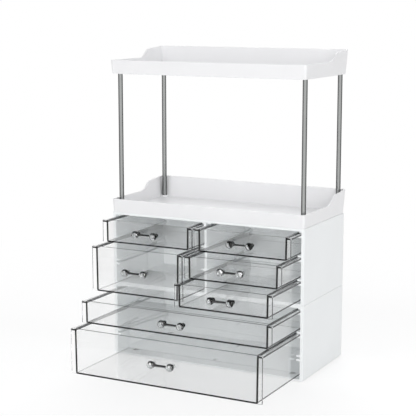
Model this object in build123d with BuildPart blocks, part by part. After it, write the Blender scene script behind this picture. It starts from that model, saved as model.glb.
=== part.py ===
from build123d import *

import os
from math import radians, tan

# A makeup organizer: two white casings hold seven clear drawers and carry two white trays on steel posts.
# Millimetres. X points right, Y points to the back and Z points up, so the drawers slide out along -Y.
# The origin is on the surface that the feet stand on, below the middle of the casings.
# The drawers stand open in a cascade, each row further out than the row above it.

# Casing, the same moulding twice
casing_width = 270.0
casing_depth = 130.0
side_wall = 4.0
back_wall = 2.5
floor_wall = 2.0
top_wall = 2.2
lip_drop = 0.8
lip_depth = 4.0
opening_top_radius = 2.4
opening_bottom_radius = 2.0
casing_back_radius = 1.5
casing_underside_radius = 1.2
casing_edge_radius = 0.6

# Rail ribs on the casing's side walls and on the divider
slot_count = 3
rail_reach = 4.6
rail_thickness = 2.2

# Clear drawers
drawer_wall = 2.0
drawer_floor = 2.0
drawer_side_draft = 0.7
drawer_corner_radius = 1.5
below_flange = 25.2
flange_thickness = 2.0
rim_rise = 1.0
panel_thickness = 2.5
panel_edge = 0.4

# Clearances round a drawer
flange_seat_gap = 0.2
flange_top_gap = 0.8
flange_side_gap = 0.4
rail_tip_gap = 0.6
bay_floor_gap = 0.8
between_drawers_gap = 1.1
lip_gap = 2.2
closed_front_gap = 0.3
closed_back_gap = 1.5

# Open pose: what stays inside of the lowest drawer, and how much less each row above stands out
drawer_held = 21.0
cascade_step = 25.5

# Bow handles
handle_pitch = 26.0
ball_radius = 4.8
ball_gap = 1.2
bar_radius = 2.1
bar_waist_radius = 1.7
stem_shoulder = 0.9
peg_radius = 1.7
peg_fit = 0.05
peg_head_overhang = 1.0
peg_head_height = 1.0

# Divider in the upper casing
divider_thickness = 3.0
divider_gap = 0.2
divider_tab_length = 14.0
divider_tab_inset = 30.0

# Locating studs on each casing's top, and the holes that they enter
stud_radius = 4.0
stud_height = 1.6
stud_clearance = 0.2
stud_inset_side = 23.0
stud_inset_end = 18.0

# Trays, the same moulding twice
tray_inset_side = 1.0
tray_inset_end = 0.1
tray_draft = 4.6
tray_wall = 2.0
tray_floor = 3.0
tray_front_height = 17.3
tray_back_height = 31.0
tray_rise_length = 28.0
tray_shoulder_length = 31.5
tray_shoulder_drop = 2.1
tray_corner_radius = 2.5
tray_bottom_radius = 0.4
tray_rim_radius = 0.5
tray_spacing = 178.4

# Posts, their sockets and screws
post_bore_radius = 1.5
post_wall = 1.5
post_wall_gap = 1.0
post_inset_front = 11.8
socket_clearance = 0.1
socket_ring_wall = 1.6
socket_ring_height = 2.0
screw_fit = 0.1
screw_hole_clearance = 0.2
screw_reach = 10.0
screw_head_gap = 0.3
screw_head_height = 1.3
screw_head_recess = 0.2
driver_slot_length = 3.0
driver_slot_width = 0.6
driver_slot_depth = 0.7

# Rubber feet
foot_radius = 8.0
foot_height = 1.4
foot_stem_fit = 0.1
foot_stem_gap = 0.1

# Heights above a casing's base, from the lowest drawer up
inner_width = casing_width - 2 * side_wall
bay_depth = casing_depth - back_wall
body_base = floor_wall + bay_floor_gap
first_flange = body_base + below_flange
slot_pitch = below_flange + flange_thickness + rim_rise + between_drawers_gap
last_flange = first_flange + (slot_count - 1) * slot_pitch
opening_top = last_flange + flange_thickness + rim_rise + lip_gap
bay_top = opening_top + lip_drop
casing_height = bay_top + top_wall

# Places of the stacked pieces
front_y = -casing_depth / 2
lower_casing_base = foot_height
upper_casing_base = lower_casing_base + casing_height
lower_tray_base = upper_casing_base + casing_height
upper_tray_base = lower_tray_base + tray_spacing
stud_spacing_x = casing_width - 2 * stud_inset_side
stud_spacing_y = casing_depth - 2 * stud_inset_end
tab_spacing = casing_depth - 2 * divider_tab_inset

# Drawer sizes from the bays, for the full width and for the halves beside the divider
drawer_length = bay_depth - closed_back_gap
wide_flange_width = inner_width - 2 * flange_side_gap
wide_body_width = inner_width - 2 * (rail_reach + rail_tip_gap)
half_bay = (inner_width - divider_thickness) / 2
half_centre = (divider_thickness + half_bay) / 2
half_flange_width = half_bay - 2 * flange_side_gap
half_body_width = half_bay - 2 * (rail_reach + rail_tip_gap)

# Handle sizes
bar_standoff = ball_radius + ball_gap
stem_radius = peg_radius + stem_shoulder
peg_head_radius = peg_radius + peg_head_overhang

# Tray and post places
tray_base_width = casing_width - 2 * tray_inset_side
tray_base_depth = casing_depth - 2 * tray_inset_end
tray_slope = tan(radians(tray_draft))
tray_inner_width = tray_base_width + 2 * (tray_floor * tray_slope - tray_wall)
tray_inner_depth = tray_base_depth + 2 * (tray_floor * tray_slope - tray_wall)
post_radius = post_bore_radius + post_wall
post_x = tray_inner_width / 2 - post_wall_gap - post_radius
post_front_y = post_inset_front - tray_base_depth / 2
post_back_y = tray_inner_depth / 2 - post_wall_gap - post_radius
post_places = [(-post_x, post_front_y), (post_x, post_front_y),
               (-post_x, post_back_y), (post_x, post_back_y)]
socket_radius = post_radius + socket_clearance
socket_depth = screw_head_height + screw_head_recess


def front_plane(depth, height, across=0.0):
    """Upright plane at a depth behind the casing's front; its normal points forward."""
    return Plane(origin=(across, front_y + depth, height), x_dir=(1, 0, 0), z_dir=(0, -1, 0))


def rail_rows(head_gap, lip_clearance):
    """Bottom, top and front end of each rail rib, above a casing's base and behind its front."""
    rows = []
    for slot in range(slot_count):
        flange_under = first_flange + slot * slot_pitch
        seat = flange_under - flange_seat_gap
        rows.append((seat - rail_thickness, seat, 0.0))
        guide = flange_under + flange_thickness + flange_top_gap
        if slot < slot_count - 1:
            rows.append((guide, guide + rail_thickness, 0.0))
        else:
            rows.append((guide, bay_top - head_gap, lip_depth + lip_clearance))
    return rows


def drawer_heights(bottom_slot, slots):
    """Body bottom, flange underside and rim of a drawer, above its casing's base."""
    flange_under = first_flange + (bottom_slot + slots - 1) * slot_pitch
    return body_base + bottom_slot * slot_pitch, flange_under, flange_under + flange_thickness + rim_rise


def make_casing(base):
    """White box, open at the front, with rail ribs inside, studs on top and stud holes in its floor."""
    with BuildPart() as casing:
        with BuildSketch(Plane.XY.offset(base)) as outline:
            Rectangle(casing_width, casing_depth)
            fillet(outline.vertices().group_by(Axis.Y)[-1], casing_back_radius)
        extrude(amount=casing_height)
        # The underside is rounder at the sides and the back, which draws a seam between stacked casings
        underside = casing.faces().sort_by(Axis.Z)[0].edges().sort_by(Axis.Y)[1:]
        fillet(underside, min(casing_underside_radius, 2 * floor_wall / 3))
        front_edges = casing.faces().sort_by(Axis.Y)[0].edges()
        top_edges = casing.faces().sort_by(Axis.Z)[-1].edges().sort_by(Axis.Y)[1:]
        fillet(front_edges + top_edges, min(casing_edge_radius, floor_wall / 3))
        # Front opening below the lip, then the bay behind the lip
        for depth, length, top in ((0.0, lip_depth, opening_top), (lip_depth, bay_depth - lip_depth, bay_top)):
            with BuildSketch(front_plane(depth, base)) as opening:
                with Locations((0, (floor_wall + top) / 2)):
                    Rectangle(inner_width, top - floor_wall)
                fillet(opening.vertices().group_by(Axis.Y)[-1], opening_top_radius)
                fillet(opening.vertices().group_by(Axis.Y)[0], opening_bottom_radius)
            extrude(amount=-length, mode=Mode.SUBTRACT)
        for bottom, top, front in rail_rows(0.0, 0.0):
            with BuildSketch(front_plane(front, base)):
                with Locations((0, (bottom + top) / 2)):
                    with GridLocations(inner_width - rail_reach, 0, 2, 1):
                        Rectangle(rail_reach, top - bottom)
            extrude(amount=-(bay_depth - front))
        # Slots for the divider's tabs, through the floor and the top
        with BuildSketch(Plane.XY.offset(base)):
            with GridLocations(0, tab_spacing, 1, 2):
                Rectangle(divider_thickness + 2 * divider_gap, divider_tab_length + 2 * divider_gap)
        extrude(amount=casing_height, mode=Mode.SUBTRACT)
        # Holes for the studs below, and the studs on top
        with BuildSketch(Plane.XY.offset(base)):
            with GridLocations(stud_spacing_x, stud_spacing_y, 2, 2):
                Circle(stud_radius + stud_clearance)
        extrude(amount=floor_wall, mode=Mode.SUBTRACT)
        with BuildSketch(Plane.XY.offset(base + casing_height)):
            with GridLocations(stud_spacing_x, stud_spacing_y, 2, 2):
                Circle(stud_radius)
        extrude(amount=stud_height)
    return casing


def make_divider(base):
    """Upright wall in the middle of a casing, with rails on both faces and tabs into floor and top."""
    length = bay_depth - divider_gap
    with BuildPart() as divider:
        with BuildSketch(Plane.YZ.offset(-divider_thickness / 2)):
            with Locations((front_y, base + floor_wall)):
                Rectangle(length, bay_top - divider_gap - floor_wall, align=(Align.MIN, Align.MIN))
            # Notch round the casing's hanging lip
            with Locations((front_y, base + opening_top - divider_gap)):
                Rectangle(lip_depth + divider_gap, casing_height, align=(Align.MIN, Align.MIN),
                          mode=Mode.SUBTRACT)
            with Locations((0, base + casing_height / 2)):
                with GridLocations(tab_spacing, 0, 2, 1):
                    Rectangle(divider_tab_length, casing_height - 2 * divider_gap)
        extrude(amount=divider_thickness)
        for bottom, top, front in rail_rows(divider_gap, divider_gap):
            with BuildSketch(front_plane(front, base)):
                with Locations((0, (bottom + top) / 2)):
                    Rectangle(divider_thickness + 2 * rail_reach, top - bottom)
            extrude(amount=-(length - front))
    return divider


def body_outline(half_top, bottom, top):
    """Corners of a drawer's cross-section, whose side walls lean in towards the bottom."""
    half_bottom = half_top - (top - bottom) * tan(radians(drawer_side_draft))
    return [(-half_top, top), (-half_bottom, bottom), (half_bottom, bottom), (half_top, top)]


def make_drawer(base, centre, body_width, flange_width, bottom_slot, slots, opening):
    """Clear open box: body, flanges, a front panel as wide as the flanges, and the handle's peg holes."""
    bottom, flange_under, rim = drawer_heights(bottom_slot, slots)
    panel_back = front_plane(-closed_front_gap - opening, base, centre)
    with BuildPart() as drawer:
        with BuildSketch(panel_back) as body:
            Polygon(*body_outline(body_width / 2, bottom, rim), align=None)
            fillet(body.vertices().group_by(Axis.Y)[0], drawer_corner_radius)
        extrude(amount=-drawer_length)
        with BuildSketch(panel_back):
            with Locations((0, flange_under + flange_thickness / 2)):
                Rectangle(flange_width, flange_thickness)
        extrude(amount=-drawer_length)
        with BuildSketch(panel_back) as hollow:
            Polygon(*body_outline(body_width / 2 - drawer_wall, bottom + drawer_floor, rim), align=None)
            inner_radius = max(drawer_corner_radius - drawer_wall, drawer_wall / 4)
            fillet(hollow.vertices().group_by(Axis.Y)[0], inner_radius)
        extrude(amount=-(drawer_length - drawer_wall), mode=Mode.SUBTRACT)
        with BuildSketch(panel_back):
            with Locations((0, (bottom + rim) / 2)):
                Rectangle(flange_width, rim - bottom)
        extrude(amount=panel_thickness)
        chamfer(drawer.faces().sort_by(Axis.Y)[0].edges(), min(panel_edge, panel_thickness / 4))
        with BuildSketch(panel_back):
            with Locations((0, (bottom + rim) / 2)):
                with GridLocations(handle_pitch, 0, 2, 1):
                    Circle(peg_radius + peg_fit)
        extrude(amount=panel_thickness, mode=Mode.SUBTRACT)
    return drawer


def make_handle(base, centre, bottom_slot, slots, opening):
    """Clear bow: a waisted bar between two balls, with stems and pegs through the panel to staked heads."""
    bottom, _, rim = drawer_heights(bottom_slot, slots)
    panel_back = front_plane(-closed_front_gap - opening, base + (bottom + rim) / 2, centre)
    bar = panel_back.offset(panel_thickness + bar_standoff)
    end = handle_pitch / 2
    # Radius, start and length of the staked heads, the pegs and the stems
    head = (peg_head_radius, -peg_head_height, peg_head_height)
    peg = (peg_radius, 0.0, panel_thickness)
    stem = (stem_radius, panel_thickness, bar_standoff)
    with BuildPart() as handle:
        for radius, start, length in (head, peg, stem):
            with BuildSketch(panel_back.offset(start)):
                with GridLocations(handle_pitch, 0, 2, 1):
                    Circle(radius)
            extrude(amount=length)
        with BuildSketch(bar):
            with BuildLine():
                Polyline((-end, bar_radius), (-end, 0), (end, 0), (end, bar_radius))
                ThreePointArc((end, bar_radius), (0, bar_waist_radius), (-end, bar_radius))
            make_face()
        revolve(axis=Axis(bar.origin, bar.x_dir))
        with Locations(bar):
            with GridLocations(handle_pitch, 0, 2, 1):
                Sphere(ball_radius)
    return handle


def make_tray(base):
    """White tray: low front, back wall nearly twice as high, and sides that rise in an S between them."""
    low = base + tray_front_height
    top = base + tray_back_height
    shoulder_y = tray_base_depth / 2 - tray_shoulder_length
    rise_y = shoulder_y - tray_rise_length
    shoulder_slope = tray_shoulder_drop / tray_shoulder_length
    with BuildPart() as tray:
        with BuildSketch(Plane.XY.offset(base)):
            RectangleRounded(tray_base_width, tray_base_depth, tray_corner_radius)
        extrude(amount=tray_back_height, taper=-tray_draft)
        fillet(tray.faces().sort_by(Axis.Z)[0].edges(), min(tray_bottom_radius, tray_floor / 2))
        with BuildSketch(Plane.XY.offset(base + tray_floor)):
            inner_radius = tray_corner_radius + tray_floor * tray_slope - tray_wall
            RectangleRounded(tray_inner_width, tray_inner_depth, max(inner_radius, tray_wall / 4))
        extrude(amount=tray_back_height - tray_floor, taper=-tray_draft, mode=Mode.SUBTRACT)
        # All above the side profile is cut away
        with BuildSketch(Plane.YZ):
            with BuildLine():
                Line((-casing_depth, low), (rise_y, low))
                rise = Spline((rise_y, low), (shoulder_y, top - tray_shoulder_drop),
                              tangents=[(1, 0), (1, shoulder_slope)])
                Polyline(rise @ 1, (tray_base_depth / 2, top), (casing_depth, top),
                         (casing_depth, top + casing_depth), (-casing_depth, top + casing_depth),
                         (-casing_depth, low))
            make_face()
        extrude(amount=casing_width, both=True, mode=Mode.SUBTRACT)
        rim_edges = tray.edges().filter_by(lambda edge: edge.bounding_box().min.Z > low - tray_rim_radius / 2)
        fillet(rim_edges, min(tray_rim_radius, tray_wall / 3))
        # Rings that hold the posts' feet
        with BuildSketch(Plane.XY.offset(base + tray_floor)):
            with Locations(*post_places):
                Circle(socket_radius + socket_ring_wall)
        extrude(amount=socket_ring_height)
        with BuildSketch(Plane.XY.offset(base + tray_floor)):
            with Locations(*post_places):
                Circle(socket_radius)
        extrude(amount=socket_ring_height, mode=Mode.SUBTRACT)
        # Sockets below, for a post's top or a screw's head, and the screw holes
        with BuildSketch(Plane.XY.offset(base)):
            with Locations(*post_places):
                Circle(socket_radius)
        extrude(amount=socket_depth, mode=Mode.SUBTRACT)
        with BuildSketch(Plane.XY.offset(base)):
            with Locations(*post_places):
                Circle(post_bore_radius - screw_fit + screw_hole_clearance)
        extrude(amount=tray_floor, mode=Mode.SUBTRACT)
        # Pockets for the casing's studs
        with BuildSketch(Plane.XY.offset(base)):
            with GridLocations(stud_spacing_x, stud_spacing_y, 2, 2):
                Circle(stud_radius + stud_clearance)
        extrude(amount=stud_height + stud_clearance, mode=Mode.SUBTRACT)
    return tray


def make_post(place):
    """Steel tube from the lower tray's floor up into the socket under the upper tray."""
    foot = lower_tray_base + tray_floor
    head = upper_tray_base + socket_depth
    with BuildPart() as post:
        with BuildSketch(Plane.XY.offset(foot)):
            with Locations(place):
                Circle(post_radius)
                Circle(post_bore_radius, mode=Mode.SUBTRACT)
        extrude(amount=head - foot)
    return post


def make_screws(seat, direction):
    """Four pan-head screws whose heads seat at a height and whose shanks point up (1) or down (-1)."""
    under_head = Plane(origin=(0, 0, seat), x_dir=(1, 0, 0), z_dir=(0, 0, direction))
    places = [(x, y * direction) for x, y in post_places]
    with BuildPart() as screws:
        with BuildSketch(under_head):
            with Locations(*places):
                Circle(post_bore_radius - screw_fit)
        extrude(amount=screw_reach)
        with BuildSketch(under_head):
            with Locations(*places):
                Circle(socket_radius - screw_head_gap)
        extrude(amount=-screw_head_height)
        with BuildSketch(under_head.offset(-screw_head_height)):
            with Locations(*places):
                Rectangle(driver_slot_length, driver_slot_width)
                Rectangle(driver_slot_width, driver_slot_length)
        extrude(amount=driver_slot_depth, mode=Mode.SUBTRACT)
    return screws


def make_feet():
    """Four rubber pads whose stems plug the stud holes in the lower casing's floor."""
    with BuildPart() as feet:
        with BuildSketch(Plane.XY):
            with GridLocations(stud_spacing_x, stud_spacing_y, 2, 2):
                Circle(foot_radius)
        extrude(amount=foot_height)
        with BuildSketch(Plane.XY.offset(foot_height)):
            with GridLocations(stud_spacing_x, stud_spacing_y, 2, 2):
                Circle(stud_radius + stud_clearance - foot_stem_fit)
        extrude(amount=floor_wall - foot_stem_gap)
    return feet


def write_piece(name, piece):
    """Label a finished piece and write its STEP file."""
    piece.part.label = name
    export_step(piece.part, f"parts/{name}.step")


os.makedirs("parts", exist_ok=True)

write_piece("lower_casing", make_casing(lower_casing_base))
write_piece("upper_casing", make_casing(upper_casing_base))
write_piece("centre_divider", make_divider(upper_casing_base))
write_piece("lower_tray", make_tray(lower_tray_base))
write_piece("upper_tray", make_tray(upper_tray_base))
write_piece("rubber_feet", make_feet())

post_names = ("post_front_left", "post_front_right", "post_back_left", "post_back_right")
for post_name, post_place in zip(post_names, post_places):
    write_piece(post_name, make_post(post_place))

# The lower screws' heads sit in sockets under the lower tray, the upper ones in the upper tray's rings
write_piece("post_screws_lower", make_screws(lower_tray_base + socket_depth, 1))
write_piece("post_screws_upper", make_screws(upper_tray_base + tray_floor, -1))

# Columns by centre, body width and flange width, then drawers by casing, column, lowest slot, slots and row
wide = (0.0, wide_body_width, wide_flange_width)
left = (-half_centre, half_body_width, half_flange_width)
right = (half_centre, half_body_width, half_flange_width)
widest_opening = drawer_length - drawer_held
drawers = {
    "top_left": (upper_casing_base, left, 2, 1, widest_opening - 3 * cascade_step),
    "deep_left": (upper_casing_base, left, 0, 2, widest_opening - 2 * cascade_step),
    "top_right": (upper_casing_base, right, 2, 1, widest_opening - 3 * cascade_step),
    "middle_right": (upper_casing_base, right, 1, 1, widest_opening - 2 * cascade_step),
    "bottom_right": (upper_casing_base, right, 0, 1, widest_opening - cascade_step),
    "wide_shallow": (lower_casing_base, wide, 2, 1, widest_opening - cascade_step),
    "wide_deep": (lower_casing_base, wide, 0, 2, widest_opening),
}
for drawer_name, (casing_base, column, bottom_slot, slots, opening) in drawers.items():
    centre, body_width, flange_width = column
    drawer = make_drawer(casing_base, centre, body_width, flange_width, bottom_slot, slots, opening)
    write_piece(f"drawer_{drawer_name}", drawer)
    write_piece(f"handle_{drawer_name}", make_handle(casing_base, centre, bottom_slot, slots, opening))
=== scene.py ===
"""Looks of a makeup organizer: white casings and trays, clear drawers and steel posts.

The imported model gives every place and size. White pieces, posts, screws, feet and handles keep
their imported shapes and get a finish, and each clear drawer is built again with rounded edges,
because its edges carry most of its look. All lengths are in metres unless a name says otherwise.
"""

from __future__ import annotations

import logging
import math
from abc import ABC, abstractmethod
from collections.abc import Sequence
from dataclasses import dataclass
from enum import Enum

import bmesh
import bpy
from mathutils import Matrix, Vector


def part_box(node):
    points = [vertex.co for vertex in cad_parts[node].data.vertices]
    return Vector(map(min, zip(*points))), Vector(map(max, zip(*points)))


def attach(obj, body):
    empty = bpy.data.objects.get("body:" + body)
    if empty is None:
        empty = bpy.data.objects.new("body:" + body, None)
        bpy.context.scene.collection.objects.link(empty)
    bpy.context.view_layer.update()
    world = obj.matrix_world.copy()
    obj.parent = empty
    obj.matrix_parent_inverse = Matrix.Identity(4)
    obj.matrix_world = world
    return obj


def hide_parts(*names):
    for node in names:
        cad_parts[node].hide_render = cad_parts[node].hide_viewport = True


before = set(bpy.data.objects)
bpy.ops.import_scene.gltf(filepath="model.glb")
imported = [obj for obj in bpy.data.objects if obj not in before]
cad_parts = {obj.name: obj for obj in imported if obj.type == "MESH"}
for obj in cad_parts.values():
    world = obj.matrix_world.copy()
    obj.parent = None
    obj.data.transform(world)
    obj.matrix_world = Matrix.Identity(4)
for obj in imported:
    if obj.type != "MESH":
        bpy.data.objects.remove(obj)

MM = 0.001
# Face attribute of the drawers, the share of painted dark reflection on a face
PAINTED_DARK_EDGE = "painted_dark_edge"
# Usual lowest and highest value of a noise
NOISE_LOW, NOISE_HIGH = 0.3, 0.7
WHITE = (1.0, 1.0, 1.0, 1.0)
# The mix node's numbers for its colour sockets
COLOUR_A, COLOUR_B, COLOUR_RESULT = 6, 7, 2
# Steps of a rounded edge
EDGE_STEPS = 4
# Millimetres between corners that are one, and degrees between faces that are one
SAME_PLACE, SAME_FACE = 0.0005, 0.3
log = logging.getLogger("organizer")

Colour = tuple[float, float, float]
Point = tuple[float, float, float]
Setting = float | tuple[float, ...] | bpy.types.NodeSocket


class NodeSheet:
    """A node tree that is filled from code, one node a call."""

    def __init__(self, tree: bpy.types.NodeTree) -> None:
        """Empty the tree.

        Args:
            tree: Node tree of a material or of the world.
        """
        self.tree = tree
        tree.nodes.clear()

    def put(self, kind: str, sockets: dict[str | int, Setting] | None = None,
            **settings: object) -> bpy.types.Node:
        """Add a node.

        Args:
            kind: Blender's name for the node type.
            sockets: Input by name, or by number where several have one name, with its value or
                the output that feeds it.
            settings: The node's own properties.

        Returns:
            The new node.
        """
        node = self.tree.nodes.new(kind)
        for name, setting in settings.items():
            setattr(node, name, setting)
        for name, value in (sockets or {}).items():
            if isinstance(value, bpy.types.NodeSocket):
                self.tree.links.new(value, node.inputs[name])
            else:
                node.inputs[name].default_value = value
        return node

    def place(self, stretch: Point = (1.0, 1.0, 1.0)) -> bpy.types.NodeSocket:
        """Give the piece's own coordinates in metres.

        Args:
            stretch: Factor on each axis, for marks that run along one of them.

        Returns:
            The vector output to texture with.
        """
        own = self.put("ShaderNodeTexCoord").outputs["Object"]
        if stretch == (1.0, 1.0, 1.0):
            return own
        return self.put("ShaderNodeMapping", {"Vector": own, "Scale": stretch}).outputs["Vector"]

    def noise(self, place: bpy.types.NodeSocket, scale: float,
              detail: float = 2.0) -> bpy.types.NodeSocket:
        """Add cloudy noise.

        Args:
            place: Coordinates to read.
            scale: Clouds in a metre.
            detail: Octaves of finer clouds.

        Returns:
            The noise's value, about 0.5 in the middle.
        """
        clouds = {"Vector": place, "Scale": scale, "Detail": detail}
        return self.put("ShaderNodeTexNoise", clouds).outputs["Fac"]

    def ramp(self, value: bpy.types.NodeSocket, low: float, high: float) -> bpy.types.NodeSocket:
        """Spread a noise value over a range.

        Args:
            value: Noise output.
            low: Result at the noise's usual lowest value.
            high: Result at its usual highest value.

        Returns:
            The spread value.
        """
        spread = {"Value": value, "From Min": NOISE_LOW, "From Max": NOISE_HIGH,
                  "To Min": low, "To Max": high}
        return self.put("ShaderNodeMapRange", spread).outputs["Result"]

    def share(self, value: bpy.types.NodeSocket, start: float, end: float) -> bpy.types.NodeSocket:
        """Turn a value into a share.

        Args:
            value: Output to read.
            start: Value at which the share is 0.
            end: Value at which it is 1.

        Returns:
            The share.
        """
        span = {"Value": value, "From Min": start, "From Max": end}
        return self.put("ShaderNodeMapRange", span).outputs["Result"]

    def work_out(self, operation: str,
                 *values: float | bpy.types.NodeSocket) -> bpy.types.NodeSocket:
        """Work out one value from others.

        Args:
            operation: Blender's name for the operation.
            values: Numbers and outputs, in order.

        Returns:
            The result.
        """
        result = self.put("ShaderNodeMath", dict(enumerate(values)), operation=operation)
        return result.outputs["Value"]

    def blend(self, share: bpy.types.NodeSocket, first: Colour | bpy.types.NodeSocket,
              second: Colour) -> bpy.types.NodeSocket:
        """Mix two colours.

        Args:
            share: Share of the second colour.
            first: Colour at share 0, or the output that gives it.
            second: Colour at share 1.

        Returns:
            The mixed colour.
        """
        under = first if isinstance(first, bpy.types.NodeSocket) else (*first, 1.0)
        over = (*second, 1.0)
        mix = self.put("ShaderNodeMix", {0: share, COLOUR_A: under, COLOUR_B: over},
                       data_type="RGBA")
        return mix.outputs[COLOUR_RESULT]

    def mix(self, share: bpy.types.NodeSocket, first: bpy.types.NodeSocket,
            second: bpy.types.NodeSocket) -> bpy.types.NodeSocket:
        """Mix two shaders.

        Args:
            share: Share of the second shader.
            first: Shader at share 0.
            second: Shader at share 1.

        Returns:
            The mixed shader.
        """
        return self.put("ShaderNodeMixShader", {0: share, 1: first, 2: second}).outputs["Shader"]

    def bump(self, height: bpy.types.NodeSocket, depth: float, strength: float,
             under: bpy.types.NodeSocket | None = None) -> bpy.types.NodeSocket:
        """Turn a height into a surface direction.

        Args:
            height: Height pattern.
            depth: Depth of the pattern in metres.
            strength: Share of the pattern that counts.
            under: Bump below this one.

        Returns:
            The surface direction.
        """
        sockets: dict[str | int, Setting] = {"Height": height, "Distance": depth,
                                             "Strength": strength}
        if under is not None:
            sockets["Normal"] = under
        return self.put("ShaderNodeBump", sockets).outputs["Normal"]

    def rim(self, start: float, end: float) -> bpy.types.NodeSocket:
        """Find where a round surface turns away, the mask of the painted dark edges.

        Args:
            start: Share of the turn at which the rim begins.
            end: Share at which it is full.

        Returns:
            0 off the rim and 1 on it.
        """
        turn = self.put("ShaderNodeLayerWeight", {"Blend": 0.5}).outputs["Facing"]
        return self.share(turn, start, end)

    def finish(self, surface: bpy.types.NodeSocket,
               volume: bpy.types.NodeSocket | None = None) -> None:
        """Send the shaders to the material's output.

        Args:
            surface: Surface shader.
            volume: Shader for the inside, where there is one.
        """
        sockets: dict[str | int, Setting] = {"Surface": surface}
        if volume is not None:
            sockets["Volume"] = volume
        self.put("ShaderNodeOutputMaterial", sockets)


@dataclass(frozen=True)
class Finish(ABC):
    """What a surface is made of and how it was worked.

    Attributes:
        name: Name of the material, the same as its slot in the record.
        colour: Linear base colour.
    """

    name: str
    colour: Colour

    @abstractmethod
    def fill(self, sheet: NodeSheet) -> None:
        """Build the finish's nodes.

        Args:
            sheet: Empty tree of the new material.
        """

    def material(self) -> bpy.types.Material:
        """Make the material once and give the same one after that.

        Returns:
            The material.
        """
        made = bpy.data.materials.get(f"{self.name}_finish")
        if made is None:
            made = bpy.data.materials.new(f"{self.name}_finish")
            made.use_nodes = True
            self.fill(NodeSheet(made.node_tree))
        return made

    def shade(self, by: float) -> Colour:
        """Give the base colour times a factor."""
        return (self.colour[0] * by, self.colour[1] * by, self.colour[2] * by)


@dataclass(frozen=True)
class MouldedPlastic(Finish):
    """Opaque plastic from a fine-blasted mould.

    Attributes:
        roughness: Middle of the roughness.
        bend: Index of refraction of the skin.
        mottle: How much the pigment's brightness drifts.
        mottle_scale: Clouds of pigment in a metre.
        gloss_spread: How far the roughness drifts to either side.
        gloss_scale: Clouds of uneven gloss in a metre.
        grain: Size of the mould's texture.
        grain_depth: Depth of that texture.
        grain_strength: Share of that texture that counts.
        flow_depth: Depth of the long waves that the cooling leaves.
        flow_scale: Long waves in a metre.
        flow_strength: Share of the long waves that counts.
    """

    roughness: float = 0.36
    bend: float = 1.5
    mottle: float = 0.02
    mottle_scale: float = 16.0
    gloss_spread: float = 0.05
    gloss_scale: float = 45.0
    grain: float = 0.5 * MM
    grain_depth: float = 0.006 * MM
    grain_strength: float = 0.4
    flow_depth: float = 0.06 * MM
    flow_scale: float = 22.0
    flow_strength: float = 0.5

    def fill(self, sheet: NodeSheet) -> None:
        """Build pigment drift, uneven gloss, long flow waves and the mould's grain.

        Args:
            sheet: Empty tree of the new material.
        """
        place = sheet.place()
        drift = sheet.ramp(sheet.noise(place, self.mottle_scale, detail=3.0), 0.0, 1.0)
        gloss = sheet.ramp(sheet.noise(place, self.gloss_scale, detail=4.0),
                           self.roughness - self.gloss_spread, self.roughness + self.gloss_spread)
        waves = sheet.bump(sheet.noise(place, self.flow_scale, detail=1.0), self.flow_depth,
                           self.flow_strength)
        grain = sheet.bump(sheet.noise(place, 1.0 / self.grain, detail=2.0), self.grain_depth,
                           self.grain_strength, waves)
        plastic = sheet.put("ShaderNodeBsdfPrincipled", {
            "Base Color": sheet.blend(drift, self.shade(1.0 - self.mottle), self.colour),
            "Roughness": gloss, "IOR": self.bend, "Normal": grain})
        sheet.finish(plastic.outputs["BSDF"])


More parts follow.
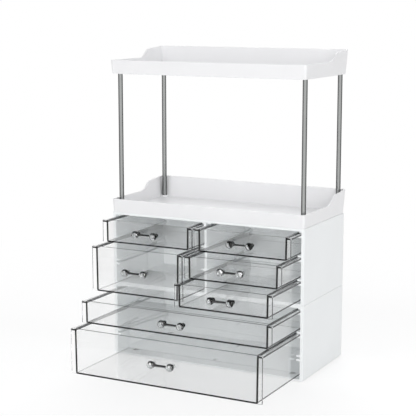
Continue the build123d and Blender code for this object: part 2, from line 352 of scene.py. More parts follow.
@dataclass(frozen=True)
class ClearPlastic(Finish):
    """Clear polished plastic that bends light and darkens where light runs along it.

    Attributes:
        roughness: Blur of what is seen through it.
        bend: Index of refraction.
        gloss: Specular level, where 0.5 mirrors as much as the bend gives.
        haze: Brightness that is left in the haziest parts.
        haze_scale: Clouds of haze in a metre.
        soak_colour: Colour that light keeps in the plastic.
        soak: Density of the plastic for the light that runs in it, by the metre.
        wave_depth: Depth of the waves in the polished faces.
        wave_scale: Those waves in a metre.
        wave_strength: Share of the waves that counts.
        lamp_share: Colour of the light that lamps send through it.
        painted_rim_start: Share of the turn at which round shapes start to get painted dark edges.
        painted_rim_end: Share of the turn at which those painted edges are darkest.
        painted_rim_shade: Colour painted as dark reflection on the outline, the bar and the balls'
            dark side, or None for flat pieces.
        shaded: Direction whose side of the round shapes gets painted dark reflection of the studio.
        painted_side_range: How far a ball has to face that way where its painted dark side starts
            and is full.
        painted_crescent: Shares of the turn at which the painted dark crescents start and are full.
        painted_bar_range: How far the bar has to face that way where its painted dark side starts
            and is full.
        bar_share: Share of the piece's width from its middle to a bow's balls.
        bar_fade: Share of the width over which the bar's painted dark part fades.
        painted_edge_shade: Colour painted on chosen drawer faces as dark reflection, or None where
            no faces are chosen.
    """

    roughness: float = 0.0
    bend: float = 1.49
    gloss: float = 0.25
    haze: float = 0.993
    haze_scale: float = 30.0
    soak_colour: Colour = (0.51, 0.52, 0.525)
    soak: float = 14.0
    wave_depth: float = 0.02 * MM
    wave_scale: float = 40.0
    wave_strength: float = 0.35
    lamp_share: Colour = (0.997, 0.998, 0.998)
    painted_rim_start: float = 0.4
    painted_rim_end: float = 1.1
    painted_rim_shade: Colour | None = None
    shaded: Point = (0.6, 0.0, 0.8)
    painted_side_range: tuple[float, float] = (0.1, 0.35)
    painted_crescent: tuple[float, float] = (0.09, 0.24)
    painted_bar_range: tuple[float, float] = (-0.35, -0.05)
    bar_share: float = 0.25
    bar_fade: float = 0.03
    painted_edge_shade: Colour | None = None

    def fill(self, sheet: NodeSheet) -> None:
        """Build the bending surface, its open side for lamps, the light lost inside and painted
        dark reflections.

        Args:
            sheet: Empty tree of the new material.
        """
        place = sheet.place()
        haze = sheet.ramp(sheet.noise(place, self.haze_scale, detail=3.0), 0.0, 1.0)
        waves = sheet.bump(sheet.noise(place, self.wave_scale, detail=1.0), self.wave_depth,
                           self.wave_strength)
        body = sheet.blend(haze, self.shade(self.haze), self.colour)
        # Painted dark reflection on chosen faces of the drawers
        if self.painted_edge_shade is not None:
            painted_edge_mask = sheet.put("ShaderNodeAttribute", attribute_name=PAINTED_DARK_EDGE).outputs["Fac"]
            body = sheet.blend(painted_edge_mask, body, self.painted_edge_shade)
        # Painted dark reflection on the handles' outline, the balls' upper side and the bar
        if self.painted_rim_shade is not None:
            body = sheet.blend(self.painted_dark_reflection(sheet), body, self.painted_rim_shade)
        plastic = sheet.put("ShaderNodeBsdfPrincipled", {
            "Base Color": body, "Roughness": self.roughness,
            "IOR": self.bend, "Specular IOR Level": self.gloss, "Transmission Weight": 1.0,
            "Normal": waves})
        way = sheet.put("ShaderNodeLightPath").outputs
        open_way = sheet.work_out("MAXIMUM", way["Is Shadow Ray"], way["Is Diffuse Ray"])
        clear = sheet.put("ShaderNodeBsdfTransparent", {"Color": (*self.lamp_share, 1.0)})
        surface = sheet.mix(open_way, plastic.outputs["BSDF"], clear.outputs["BSDF"])
        inside = sheet.put("ShaderNodeVolumeAbsorption", {
            "Color": (*self.soak_colour, 1.0), "Density": self.soak})
        sheet.finish(surface, inside.outputs["Volume"])

    def painted_dark_reflection(self, sheet: NodeSheet) -> bpy.types.NodeSocket:
        """Find where round shapes get painted dark reflection, in place of the studio's dark part
        bent into view.

        Args:
            sheet: Tree of the new material.

        Returns:
            0 where light passes and 1 where dark is painted: on the outline, on the balls' shaded
            side and on the bar.
        """
        skin = sheet.put("ShaderNodeNewGeometry").outputs
        outside = sheet.work_out("SUBTRACT", 1.0, skin["Backfacing"])
        facing = sheet.put("ShaderNodeVectorMath", {0: skin["Normal"], 1: self.shaded},
                           operation="DOT_PRODUCT").outputs["Value"]
        side = sheet.share(facing, *self.painted_side_range)
        painted_crescent = sheet.work_out("MULTIPLY", side, sheet.rim(*self.painted_crescent))
        own = sheet.put("ShaderNodeTexCoord").outputs["Generated"]
        along = sheet.put("ShaderNodeSeparateXYZ", {"Vector": own})
        off_middle = sheet.work_out("SUBTRACT", along.outputs["X"], 0.5)
        apart = sheet.work_out("ABSOLUTE", off_middle)
        between = sheet.share(apart, self.bar_share, self.bar_share - self.bar_fade)
        upper = sheet.share(facing, *self.painted_bar_range)
        bar = sheet.work_out("MULTIPLY", between, upper)
        front = sheet.work_out("MULTIPLY", sheet.work_out("MAXIMUM", painted_crescent, bar), outside)
        return sheet.work_out("MAXIMUM", sheet.rim(self.painted_rim_start, self.painted_rim_end), front)


@dataclass(frozen=True)
class DrawnSteel(Finish):
    """Steel that was drawn or turned, with fine lines along one axis and painted shade toward its
    outline.

    Attributes:
        roughness: Middle of the roughness.
        gloss_spread: How far the roughness drifts to either side.
        lines: Stretch of the noise on each axis, smallest along the lines.
        line_scale: Lines in a metre.
        line_depth: Depth of the lines.
        line_strength: Share of the lines that counts.
        patch: Brightness that is left in the duller patches of the polish.
        patch_scale: Patches in a metre.
        rim: Brightness that is left in the painted shade where the round surface turns away.
        painted_rim_range: Shares of the turn at which that painted shade starts and is full.
    """

    roughness: float = 0.2
    gloss_spread: float = 0.06
    lines: Point = (1.0, 1.0, 0.02)
    line_scale: float = 2600.0
    line_depth: float = 0.004 * MM
    line_strength: float = 0.5
    patch: float = 0.94
    patch_scale: float = 60.0
    rim: float = 0.1
    painted_rim_range: tuple[float, float] = (0.02, 0.35)

    def fill(self, sheet: NodeSheet) -> None:
        """Build the fine lines, the uneven polish and the painted shade toward the outline.

        Args:
            sheet: Empty tree of the new material.
        """
        lines = sheet.noise(sheet.place(self.lines), self.line_scale, detail=3.0)
        patches = sheet.ramp(sheet.noise(sheet.place(), self.patch_scale, detail=2.0), 0.0, 1.0)
        face = sheet.blend(patches, self.shade(self.patch), self.colour)
        steel = sheet.put("ShaderNodeBsdfPrincipled", {
            # Base colour darkens toward the outline: painted shade
            "Base Color": sheet.blend(sheet.rim(*self.painted_rim_range), face, self.shade(self.rim)),
            "Metallic": 1.0,
            "Roughness": sheet.ramp(lines, self.roughness - self.gloss_spread,
                                    self.roughness + self.gloss_spread),
            "Normal": sheet.bump(lines, self.line_depth, self.line_strength)})
        sheet.finish(steel.outputs["BSDF"])


@dataclass(frozen=True)
class MouldedRubber(Finish):
    """Matte rubber with a coarse skin.

    Attributes:
        roughness: Middle of the roughness.
        gloss_spread: How far the roughness drifts to either side.
        dust: Brightness of the dustiest parts beside the colour.
        dust_scale: Clouds of dust in a metre.
        pit_scale: Pits in a metre.
        pit_depth: Depth of the pits.
        pit_strength: Share of the pits that counts.
    """

    roughness: float = 0.75
    gloss_spread: float = 0.08
    dust: float = 1.4
    dust_scale: float = 260.0
    pit_scale: float = 1800.0
    pit_depth: float = 0.03 * MM
    pit_strength: float = 0.5

    def fill(self, sheet: NodeSheet) -> None:
        """Build the rubber's dusty colour and pitted skin.

        Args:
            sheet: Empty tree of the new material.
        """
        place = sheet.place()
        dust = sheet.ramp(sheet.noise(place, self.dust_scale, detail=4.0), 0.0, 1.0)
        pits = sheet.noise(place, self.pit_scale, detail=3.0)
        rubber = sheet.put("ShaderNodeBsdfPrincipled", {
            "Base Color": sheet.blend(dust, self.colour, self.shade(self.dust)),
            "Roughness": sheet.ramp(dust, self.roughness - self.gloss_spread,
                                    self.roughness + self.gloss_spread),
            "Normal": sheet.bump(pits, self.pit_depth, self.pit_strength)})
        sheet.finish(rubber.outputs["BSDF"])


@dataclass(frozen=True)
class StudioPaper(Finish):
    """Pale floor paper that looks white to the camera but keeps soft shadows.

    Attributes:
        shown: Share of the paper's light that is shaded as usual for the camera.
        lit: How bright the lamps make plain white paper beside the object.
        near: Distance from the object's middle within which that share holds.
        far: Distance at which the paper has become plain white.
        fibre: Brightness that is left in the darker fibres.
        fibre_scale: Clouds of fibre in a metre.
    """

    shown: float = 0.42
    lit: float = 0.89
    near: float = 0.30
    far: float = 0.85
    fibre: float = 0.99
    fibre_scale: float = 25.0

    def fill(self, sheet: NodeSheet) -> None:
        """Build the paper as it lights the object, and as the camera and clear pieces see it.

        Args:
            sheet: Empty tree of the new material.
        """
        fibre = sheet.ramp(sheet.noise(sheet.place(), self.fibre_scale, detail=4.0), 0.0, 1.0)
        colour = sheet.blend(fibre, self.shade(self.fibre), self.colour)
        paper = sheet.put("ShaderNodeBsdfDiffuse", {"Color": colour})
        shaded = sheet.put("ShaderNodeBsdfDiffuse", {
            "Color": (self.shown, self.shown, self.shown, 1.0)})
        glow = sheet.put("ShaderNodeEmission", {
            "Color": WHITE, "Strength": 1.0 - self.lit * self.shown})
        close = sheet.put("ShaderNodeAddShader", {
            0: shaded.outputs["BSDF"], 1: glow.outputs["Emission"]})
        white = sheet.put("ShaderNodeEmission", {"Color": WHITE, "Strength": 1.0})
        away = sheet.put("ShaderNodeVectorMath", {0: sheet.place()}, operation="LENGTH")
        fade = sheet.put("ShaderNodeMapRange", {
            "Value": away.outputs["Value"], "From Min": self.near, "From Max": self.far},
            interpolation_type="SMOOTHSTEP")
        seen = sheet.mix(fade.outputs["Result"], close.outputs["Shader"], white.outputs["Emission"])
        sheet.finish(sheet.mix(white_rays(sheet), paper.outputs["BSDF"], seen))


def white_rays(sheet: NodeSheet) -> bpy.types.NodeSocket:
    """Find the rays that see the white background.

    Args:
        sheet: Tree of the floor or of the world.

    Returns:
        1 for camera, glossy and transmission rays, and 0 for all others.
    """
    way = sheet.put("ShaderNodeLightPath").outputs
    seen = sheet.work_out("MAXIMUM", way["Is Camera Ray"], way["Is Glossy Ray"])
    return sheet.work_out("MAXIMUM", seen, way["Is Transmission Ray"])


CASING_WHITE = MouldedPlastic("white_plastic", (0.922, 0.941, 0.947))
TRAY_WHITE = MouldedPlastic("tray_plastic", (0.880, 0.880, 0.890), roughness=0.33)
# The drawers' chosen faces and the handles' round shapes get painted dark reflection
DRAWER_CLEAR = ClearPlastic("clear_plastic", (1.0, 1.0, 1.0), painted_edge_shade=(0.012, 0.012, 0.013))
HANDLE_CLEAR = ClearPlastic("clear_handle_plastic", (1.0, 1.0, 1.0), soak=40.0,
                            painted_rim_shade=(0.002, 0.002, 0.0022))
# Posts and screws get painted shade toward their outline
POST_STEEL = DrawnSteel("steel_tube", (0.44, 0.45, 0.445), roughness=0.2)
SCREW_STEEL = DrawnSteel("screw_steel", (0.58, 0.58, 0.60), roughness=0.3, lines=(1.0, 1.0, 1.0))
FOOT_RUBBER = MouldedRubber("foot_rubber", (0.045, 0.045, 0.047))


class Body(Enum):
    """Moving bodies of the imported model."""

    FRAME = "frame"
    TOP_LEFT = "top_left_drawer"
    DEEP_LEFT = "deep_left_drawer"
    TOP_RIGHT = "top_right_drawer"
    MIDDLE_RIGHT = "middle_right_drawer"
    BOTTOM_RIGHT = "bottom_right_drawer"
    WIDE_SHALLOW = "wide_shallow_drawer"
    WIDE_DEEP = "wide_deep_drawer"

    @property
    def drawer(self) -> str:
        """Name of this body's drawer node."""
        return "drawer_" + self.value.removesuffix("_drawer")

    @property
    def handle(self) -> str:
        """Name of this body's handle node."""
        return "handle_" + self.value.removesuffix("_drawer")


class Cut(Enum):
    """Ways to put two solids together."""

    JOIN = "UNION"
    REMOVE = "DIFFERENCE"


def report(piece: str, what: str) -> None:
    """Log one finished piece.

    Args:
        piece: Name of the piece.
        what: What was done to it.
    """
    log.info("%s: %s", piece, what)


def dress(node: str, finish: Finish) -> bpy.types.Object:
    """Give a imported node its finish.

    Args:
        node: Name of the node.
        finish: Finish for all of its faces.

    Returns:
        The node's object.
    """
    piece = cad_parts[node]
    if not piece.material_slots:
        piece.data.materials.append(finish.material())
    for holder in piece.material_slots:
        holder.material = finish.material()
    report(node, f"packed shape in {finish.name}")
    return piece


def arc(centre: tuple[float, float], radius: float, start: float, end: float,
        steps: int) -> list[tuple[float, float]]:
    """Place points on an arc.

    Args:
        centre: Middle of the arc.
        radius: Radius of the arc.
        start: First angle in degrees.
        end: Last angle in degrees.
        steps: Number of straight steps.

    Returns:
        The points, both ends included.
    """
    points = []
    for step in range(steps + 1):
        angle = math.radians(start + (end - start) * step / steps)
        points.append((centre[0] + radius * math.cos(angle), centre[1] + radius * math.sin(angle)))
    return points


def prism(outline: Sequence[tuple[float, float]], front: float, back: float) -> bpy.types.Mesh:
    """Make a solid from an outline in X and Z that runs from front to back.

    Args:
        outline: Corners of the outline, in millimetres.
        front: Y of the front face in millimetres.
        back: Y of the back face in millimetres.

    Returns:
        The solid's mesh, in millimetres.
    """
    shape = bmesh.new()
    near = [shape.verts.new((x, front, z)) for x, z in outline]
    far = [shape.verts.new((x, back, z)) for x, z in outline]
    shape.faces.new(near)
    shape.faces.new(far[::-1])
    for here in range(len(outline)):
        after = (here + 1) % len(outline)
        shape.faces.new((near[after], near[here], far[here], far[after]))
    bmesh.ops.recalc_face_normals(shape, faces=shape.faces)
    mesh = bpy.data.meshes.new("solid")
    shape.to_mesh(mesh)
    shape.free()
    return mesh


def rectangle(left: float, right: float, bottom: float, top: float) -> list[tuple[float, float]]:
    """Give the corners of an upright rectangle in X and Z."""
    return [(left, bottom), (right, bottom), (right, top), (left, top)]


def worked(mesh: bpy.types.Mesh, tool: bpy.types.Mesh | None = None, cut: Cut = Cut.JOIN,
           edge: float = 0.0) -> bpy.types.Mesh:
    """Join a solid with another, cut it, or round its edges.

    Args:
        mesh: Solid to work on, in millimetres.
        tool: Second solid, for a join or a cut.
        cut: What to do with the second solid.
        edge: Largest radius, of an edge with a bevel weight of 1, where there is no second solid.

    Returns:
        The worked mesh.
    """
    holder = bpy.data.objects.new("work", mesh)
    bpy.context.scene.collection.objects.link(holder)
    helper = None
    if tool is not None:
        helper = bpy.data.objects.new("tool", tool)
        bpy.context.scene.collection.objects.link(helper)
        step = holder.modifiers.new("cut", "BOOLEAN")
        step.operation = cut.value
        step.solver = "EXACT"
        step.object = helper
    else:
        step = holder.modifiers.new("edge", "BEVEL")
        step.width = edge
        step.segments = EDGE_STEPS
        step.limit_method = "WEIGHT"
    bpy.context.view_layer.update()
    seen = holder.evaluated_get(bpy.context.evaluated_depsgraph_get())
    result = bpy.data.meshes.new_from_object(seen)
    for used in (holder, helper):
        if used is not None:
            bpy.data.objects.remove(used)
    return result


def cleaned(mesh: bpy.types.Mesh) -> bpy.types.Mesh:
    """Merge the flat parts of a solid's faces, so that only real edges are left.

    Args:
        mesh: Solid in millimetres.

    Returns:
        The same mesh.
    """
    shape = bmesh.new()
    shape.from_mesh(mesh)
    bmesh.ops.remove_doubles(shape, verts=shape.verts, dist=SAME_PLACE)
    bmesh.ops.dissolve_limit(shape, angle_limit=math.radians(SAME_FACE), verts=shape.verts,
                             edges=shape.edges)
    shape.to_mesh(mesh)
    shape.free()
    return mesh


@dataclass(frozen=True)
class Drawer:
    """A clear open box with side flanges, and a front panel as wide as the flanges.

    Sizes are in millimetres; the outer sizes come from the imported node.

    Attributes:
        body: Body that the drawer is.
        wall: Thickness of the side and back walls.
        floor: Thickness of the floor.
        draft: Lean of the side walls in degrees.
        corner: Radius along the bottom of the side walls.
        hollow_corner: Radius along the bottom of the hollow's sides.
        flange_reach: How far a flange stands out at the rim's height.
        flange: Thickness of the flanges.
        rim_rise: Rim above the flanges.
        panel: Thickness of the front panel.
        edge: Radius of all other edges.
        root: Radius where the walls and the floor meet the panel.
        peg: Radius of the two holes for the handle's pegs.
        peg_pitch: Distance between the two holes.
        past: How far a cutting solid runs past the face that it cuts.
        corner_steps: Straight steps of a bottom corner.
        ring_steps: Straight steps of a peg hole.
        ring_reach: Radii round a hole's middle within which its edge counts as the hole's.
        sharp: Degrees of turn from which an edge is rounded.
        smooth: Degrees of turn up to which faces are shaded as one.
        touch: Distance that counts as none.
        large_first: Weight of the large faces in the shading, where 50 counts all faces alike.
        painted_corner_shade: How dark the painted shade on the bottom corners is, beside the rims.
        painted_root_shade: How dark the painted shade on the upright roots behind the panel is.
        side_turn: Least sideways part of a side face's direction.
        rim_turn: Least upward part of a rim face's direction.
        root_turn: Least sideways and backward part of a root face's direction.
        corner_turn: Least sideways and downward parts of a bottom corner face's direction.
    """

    body: Body
    wall: float = 2.5
    floor: float = 1.5
    draft: float = 0.7
    corner: float = 1.5
    hollow_corner: float = 0.5
    flange_reach: float = 4.8
    flange: float = 2.0
    rim_rise: float = 1.0
    panel: float = 2.5
    edge: float = 0.35
    root: float = 1.4
    peg: float = 1.75
    peg_pitch: float = 26.0
    past: float = 1.0
    corner_steps: int = 6
    ring_steps: int = 40
    ring_reach: float = 1.5
    sharp: float = 40.0
    smooth: float = 35.0
    touch: float = 0.01
    large_first: int = 100
    painted_corner_shade: float = 0.6
    painted_root_shade: float = 1.0
    side_turn: float = 0.5
    rim_turn: float = 0.3
    root_turn: float = 0.15
    corner_turn: tuple[float, float] = (0.25, 0.2)

    def section(self, middle: float, half_top: float, bottom: float, rim: float, above: float,
                corner: float) -> list[tuple[float, float]]:
        """Outline the box or its hollow as seen from the front.

        Args:
            middle: X of the middle.
            half_top: Half width at the rim.
            bottom: Height of the lowest face.
            rim: Height at which half_top holds.
            above: How far the outline goes on above the rim.
            corner: Radius of the two bottom corners.

        Returns:
            Corners from the upper left, down and round to the upper right.
        """
        lean = math.tan(math.radians(self.draft))
        top = half_top + above * lean
        # The corner's arc touches the floor and the leaning wall
        turn = 90.0 - self.draft
        inset = corner * math.tan(math.radians(turn / 2))
        half_bottom = half_top - (rim - bottom) * lean
        right = arc((middle + half_bottom - inset, bottom + corner), corner, -90.0, -self.draft,
                    self.corner_steps)
        left = [(2 * middle - x, z) for x, z in reversed(right)]
        return [(middle - top, rim + above), *left, *right, (middle + top, rim + above)]

    def shell(self) -> bpy.types.Mesh:
        """Build the drawer from its packed outer sizes.

        Returns:
            The finished mesh, in metres.
        """
        low, high = (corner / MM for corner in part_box(self.body.drawer))
        middle, half_flange = (low.x + high.x) / 2, (high.x - low.x) / 2
        half_top = half_flange - self.flange_reach
        flange_top = high.z - self.rim_rise
        panel_back = low.y + self.panel
        inside = low.y + self.panel / 2
        box = prism(self.section(middle, half_top, low.z, high.z, 0.0, self.corner), inside, high.y)
        flange_under = flange_top - self.flange
        flanges = prism(rectangle(low.x, high.x, flange_under, flange_top), inside, high.y)
        front = prism(rectangle(low.x, high.x, low.z, high.z), low.y, panel_back)
        inner = self.section(middle, half_top - self.wall, low.z + self.floor, high.z, self.past,
                             self.hollow_corner)
        hollow = prism(inner, panel_back, high.y - self.wall)
        shell = worked(worked(box, flanges), front)
        shell = worked(shell, hollow, Cut.REMOVE)
        holes = [(middle + side * self.peg_pitch, (low.z + high.z) / 2) for side in (-0.5, 0.5)]
        for centre in holes:
            ring = arc(centre, self.peg, 0.0, 360.0, self.ring_steps)[:-1]
            hole = prism(ring, low.y - self.past, panel_back + self.past)
            shell = worked(shell, hole, Cut.REMOVE)
        shell = cleaned(shell)
        self.weigh_edges(shell, panel_back, flange_under, holes)
        shell = worked(shell, edge=self.root)
        shell.transform(Matrix.Scale(MM, 4))
        return shell

    def weigh_edges(self, mesh: bpy.types.Mesh, panel_back: float, flange_under: float,
                    holes: Sequence[tuple[float, float]]) -> None:
        """Mark each sharp edge with its share of the largest radius.

        Args:
            mesh: Drawer in millimetres, with sharp edges.
            panel_back: Y of the panel's back face.
            flange_under: Height of the flanges' underside.
            holes: Centres of the peg holes in X and Z, whose edges stay sharp.
        """
        shape = bmesh.new()
        shape.from_mesh(mesh)
        weight = shape.edges.layers.float.new("bevel_weight_edge")
        for line in shape.edges:
            if len(line.link_faces) != 2 or line.calc_face_angle(0.0) < math.radians(self.sharp):
                continue
            end = line.verts[0].co
            if any(math.hypot(end.x - x, end.z - z) < self.ring_reach * self.peg for x, z in holes):
                continue
            at_root = all(abs(corner.co.y - panel_back) < self.touch for corner in line.verts)
            below = (line.verts[0].co.z + line.verts[1].co.z) / 2 < flange_under - self.touch
            is_root = at_root and below and not line.is_convex
            line[weight] = 1.0 if is_root else self.edge / self.root
        shape.to_mesh(mesh)
        shape.free()

    def paint_dark_edges(self, mesh: bpy.types.Mesh) -> None:
        """Give the narrow faces behind the panel their share of painted dark reflection.

        Args:
            mesh: Finished drawer, in metres.
        """
        low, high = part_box(self.body.drawer)
        behind = low.y + self.panel * MM + self.edge * MM
        shape = bmesh.new()
        shape.from_mesh(mesh)
        bmesh.ops.bisect_plane(shape, geom=[*shape.verts, *shape.edges, *shape.faces],
                               plane_co=(0.0, behind, 0.0), plane_no=(0.0, 1.0, 0.0))
        shape.to_mesh(mesh)
        shape.free()
        painted_mark = mesh.attributes.new(PAINTED_DARK_EDGE, "FLOAT", "FACE")
        for face in mesh.polygons:
            painted_mark.data[face.index].value = self.painted_dark_share(face.center, face.normal, low, high)

    def painted_dark_share(self, middle: Vector, turn: Vector, low: Vector, high: Vector) -> float:
        """Find how much painted dark reflection a face gets.

        It is painted on the rims, the flanges' outer sides, the upright roots behind the panel and,
        less so, the rounded bottom corners.

        Args:
            middle: Middle of the face.
            turn: Direction of the face.
            low: Lowest corner of the drawer's box.
            high: Highest corner of the drawer's box.

        Returns:
            0 for a clear face and 1 for a dark one.
        """
        panel_back = low.y + self.panel * MM
        aside = abs(turn.x)
        beside = aside > self.side_turn
        upright = aside > self.root_turn and turn.y > self.root_turn and abs(turn.z) < self.rim_turn
        if upright and panel_back < middle.y < panel_back + self.root * MM:
            return self.painted_root_shade
        if middle.y < panel_back + self.edge * MM:
            return 0.0
        at_rim = middle.z > high.z - self.rim_rise * MM and (beside or turn.z > self.rim_turn)
        at_flange = beside and min(middle.x - low.x, high.x - middle.x) < self.edge * MM
        if at_rim or at_flange:
            return 1.0
        sideways, downward = self.corner_turn
        if middle.z < low.z + self.corner * MM and aside > sideways and turn.z < -downward:
            return self.painted_corner_shade
        return 0.0

    def build(self) -> bpy.types.Object:
        """Build and dress the drawer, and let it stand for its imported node.

        Returns:
            The drawer's object.
        """
        mesh = self.shell()
        self.paint_dark_edges(mesh)
        mesh.materials.clear()
        mesh.materials.append(DRAWER_CLEAR.material())
        mesh.shade_smooth()
        mesh.set_sharp_from_angle(angle=math.radians(self.smooth))
        piece = bpy.data.objects.new(f"clear_{self.body.drawer}", mesh)
        bpy.context.scene.collection.objects.link(piece)
        even = piece.modifiers.new("even_faces", "WEIGHTED_NORMAL")
        even.keep_sharp = True
        even.weight = self.large_first
        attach(piece, self.body.value)
        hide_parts(self.body.drawer)
        report(piece.name, f"{len(mesh.polygons)} faces, stands for {self.body.drawer}")
        return piece


@dataclass(frozen=True)
class BowHandle:
    """A clear bow of two balls and a waisted bar on a drawer's front.

    Attributes:
        body: Body of the drawer that carries it.
        finish: Its clear plastic.
    """

    body: Body
    finish: Finish = HANDLE_CLEAR

    def build(self) -> bpy.types.Object:
        """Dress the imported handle."""
        return dress(self.body.handle, self.finish)


@dataclass(frozen=True)
class Carcass:
    """The two white casings and the divider in the upper one.

    Attributes:
        casings: Nodes of the casings.
        divider: Node of the divider.
        finish: Their white plastic.
    """

    casings: tuple[str, ...] = ("lower_casing", "upper_casing")
    divider: str = "centre_divider"
    finish: Finish = CASING_WHITE

    def build(self) -> list[bpy.types.Object]:
        """Dress the casings and the divider, and give their objects."""
        return [dress(node, self.finish) for node in (*self.casings, self.divider)]


@dataclass(frozen=True)
class TrayStand:
    """Two white trays, the four steel posts between them, and their screws.

    Attributes:
        trays: Nodes of the trays.
        posts: Nodes of the posts.
        screws: Nodes of the screws.
    """

    trays: tuple[str, ...] = ("lower_tray", "upper_tray")
    posts: tuple[str, ...] = ("post_front_left", "post_front_right",
                              "post_back_left", "post_back_right")
    screws: tuple[str, ...] = ("post_screws_lower", "post_screws_upper")

    def build(self) -> list[bpy.types.Object]:
        """Dress the trays, posts and screws.

        Returns:
            Their objects.
        """
        made = [dress(node, TRAY_WHITE) for node in self.trays]
        made += [dress(node, POST_STEEL) for node in self.posts]
        made += [dress(node, SCREW_STEEL) for node in self.screws]
        return made


@dataclass(frozen=True)
class Feet:
    """Rubber pads under the lower casing.

    Attributes:
        node: Node of all four pads.
    """

    node: str = "rubber_feet"

    def build(self) -> bpy.types.Object:
        """Dress the pads."""
        return dress(self.node, FOOT_RUBBER)


@dataclass(frozen=True)
class Lamp:
    """A soft square lamp that looks at the object's middle.

    Attributes:
        name: Name of the lamp.
        azimuth: Direction from the object in degrees, 0 in front and 90 on the right.
        elevation: Height above the horizon in degrees.
        distance: Distance from the object's middle.
        size: Side of the lamp.
        power: Watts.
        mirrored: Whether glossy surfaces mirror it.
    """

    name: str
    azimuth: float
    elevation: float
    distance: float
    size: float
    power: float
    mirrored: bool = True

    def build(self, aim: Vector) -> bpy.types.Object:
        """Place the lamp.

        Args:
            aim: Point that it looks at.

        Returns:
            The lamp's object.
        """
        light = bpy.data.lights.new(self.name, "AREA")
        light.shape = "SQUARE"
        light.size = self.size
        light.energy = self.power
        lamp = bpy.data.objects.new(self.name, light)
        bpy.context.scene.collection.objects.link(lamp)
        lamp.visible_glossy = self.mirrored
        lamp.matrix_world = looking_at(aim, self.azimuth, self.elevation, self.distance)
        report(self.name, f"{self.power:g} W at {self.azimuth:g}, {self.elevation:g} degrees")
        return lamp


def looking_at(aim: Vector, azimuth: float, elevation: float, distance: float) -> Matrix:
    """Place something round a point so that it looks at that point.

    Args:
        aim: Point that it looks at.
        azimuth: Degrees round the object, 0 in front and 90 on the right.
        elevation: Degrees above the horizon.
        distance: Distance from the point.

    Returns:
        Its matrix.
    """
    around, up = math.radians(azimuth), math.radians(elevation)
    back = Vector((math.sin(around) * math.cos(up), -math.cos(around) * math.cos(up), math.sin(up)))
    right = Vector((math.cos(around), math.sin(around), 0.0))
    above = back.cross(right)
    turn = Matrix((right, above, back)).transposed().to_4x4()
    return Matrix.Translation(aim + back * distance) @ turn


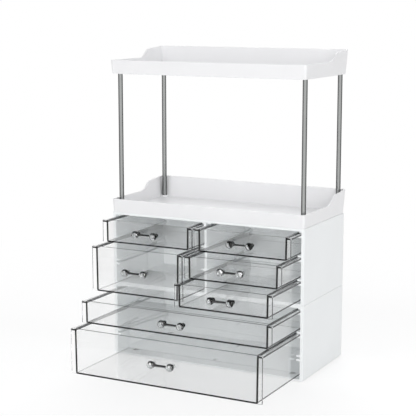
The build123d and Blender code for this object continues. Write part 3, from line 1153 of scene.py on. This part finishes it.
@dataclass(frozen=True)
class Studio:
    """Floor, soft lamps, white surroundings and the photograph's camera.

    Attributes:
        aim: Point in the middle of the camera's view.
        azimuth: The camera's direction from the object in degrees.
        elevation: The camera's height above the horizon in degrees.
        distance: The camera's distance from the aim.
        lens: Focal length in millimetres.
        sensor: Sensor width in millimetres.
        ambient: Strength of the surroundings for the light that they give.
        ceiling: Share of white that mirrored and bent rays find overhead.
        ceiling_start: Height of a ray's direction where the ceiling begins, 0 level and 1 upright.
        ceiling_end: Height at which the ceiling is darkest.
        ambient_tint: Colour of the light that the surroundings give.
        bounces: Most turns of a ray, also inside clear pieces.
        open_bounces: Most open faces that a ray passes.
        nearest: Distance at which the camera starts to see.
        farthest: Distance at which it stops.
        floor_half: Half of the floor's side.
        floor_drop: Gap under the object, so that no faces lie in one plane.
        floor_cells: Cells along the floor's side.
        paper: The floor's finish.
        lamp_aim: Point that the lamps look at.
        lamps: The soft lamps.
    """

    aim: Point = (0.00456, -0.065, 0.206834)
    azimuth: float = 27.647
    elevation: float = 9.774
    distance: float = 1.501437
    lens: float = 104.476
    sensor: float = 36.0
    ambient: float = 0.43
    ceiling: float = 0.05
    ceiling_start: float = 0.2
    ceiling_end: float = 0.5
    ambient_tint: Colour = (0.985, 0.99, 1.0)
    bounces: int = 16
    open_bounces: int = 48
    nearest: float = 0.01
    farthest: float = 50.0
    floor_half: float = 4.0
    floor_drop: float = 0.05 * MM
    floor_cells: int = 8
    paper: Finish = StudioPaper("studio_paper", (0.80, 0.80, 0.80))
    lamp_aim: Point = (0.0, -0.03, 0.2)
    lamps: tuple[Lamp, ...] = (
        Lamp("front_lamp", -18.0, 42.0, 2.4, 1.6, 12.5),
        Lamp("bay_lamp", 27.0, 10.0, 2.4, 1.2, 22.0, mirrored=False),
        Lamp("side_lamp", 92.0, 30.0, 2.6, 1.4, 12.2),
        Lamp("back_lamp", 200.0, 38.0, 2.6, 1.4, 21.0),
    )

    def camera(self) -> bpy.types.Object:
        """Make the camera and set it as the scene's.

        Returns:
            The camera's object.
        """
        view = bpy.data.cameras.new("photo_camera")
        view.lens = self.lens
        view.sensor_width = self.sensor
        view.clip_start = self.nearest
        view.clip_end = self.farthest
        camera = bpy.data.objects.new("photo_camera", view)
        bpy.context.scene.collection.objects.link(camera)
        camera.matrix_world = looking_at(Vector(self.aim), self.azimuth, self.elevation,
                                         self.distance)
        bpy.context.scene.camera = camera
        report(camera.name, f"{self.distance:g} m from the object")
        return camera

    def floor(self) -> bpy.types.Object:
        """Lay the paper that the object stands on.

        Returns:
            The floor's object.
        """
        shape = bmesh.new()
        bmesh.ops.create_grid(shape, x_segments=self.floor_cells, y_segments=self.floor_cells,
                              size=self.floor_half)
        mesh = bpy.data.meshes.new("studio_floor")
        shape.to_mesh(mesh)
        shape.free()
        mesh.materials.append(self.paper.material())
        floor = bpy.data.objects.new("studio_floor", mesh)
        floor.location.z = -self.floor_drop
        bpy.context.scene.collection.objects.link(floor)
        report(floor.name, "pale paper")
        return floor

    def surroundings(self) -> None:
        """Fill the world with even light that the camera, metal and clear pieces see as white."""
        world = bpy.data.worlds.new("studio")
        world.use_nodes = True
        bpy.context.scene.world = world
        sheet = NodeSheet(world.node_tree)
        even = sheet.put("ShaderNodeBackground", {
            "Color": (*self.ambient_tint, 1.0), "Strength": self.ambient})
        ray = sheet.put("ShaderNodeTexCoord").outputs["Generated"]
        way = sheet.put("ShaderNodeSeparateXYZ", {"Vector": ray})
        above = sheet.put("ShaderNodeMapRange", {
            "Value": way.outputs["Z"], "From Min": self.ceiling_start, "From Max": self.ceiling_end,
            "To Min": 1.0, "To Max": self.ceiling}, interpolation_type="SMOOTHSTEP")
        seen = sheet.put("ShaderNodeLightPath").outputs["Is Camera Ray"]
        white = sheet.put("ShaderNodeBackground", {
            "Color": WHITE, "Strength": sheet.work_out("MAXIMUM", above.outputs["Result"], seen)})
        mixed = sheet.mix(white_rays(sheet), even.outputs["Background"],
                          white.outputs["Background"])
        sheet.put("ShaderNodeOutputWorld", {"Surface": mixed})

    def build(self) -> None:
        """Set up the whole studio."""
        scene = bpy.context.scene
        scene.view_settings.view_transform = "Standard"
        scene.cycles.max_bounces = self.bounces
        scene.cycles.transmission_bounces = self.bounces
        scene.cycles.transparent_max_bounces = self.open_bounces
        self.camera()
        self.floor()
        self.surroundings()
        for lamp in self.lamps:
            lamp.build(Vector(self.lamp_aim))


def main() -> None:
    """Build the studio and every piece, in order."""
    logging.basicConfig(level=logging.INFO, format="%(name)s %(message)s")
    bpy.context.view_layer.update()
    Studio().build()
    Carcass().build()
    TrayStand().build()
    Feet().build()
    for body in Body:
        if body is not Body.FRAME:
            Drawer(body).build()
            BowHandle(body).build()


if __name__ == "__main__":
    main()
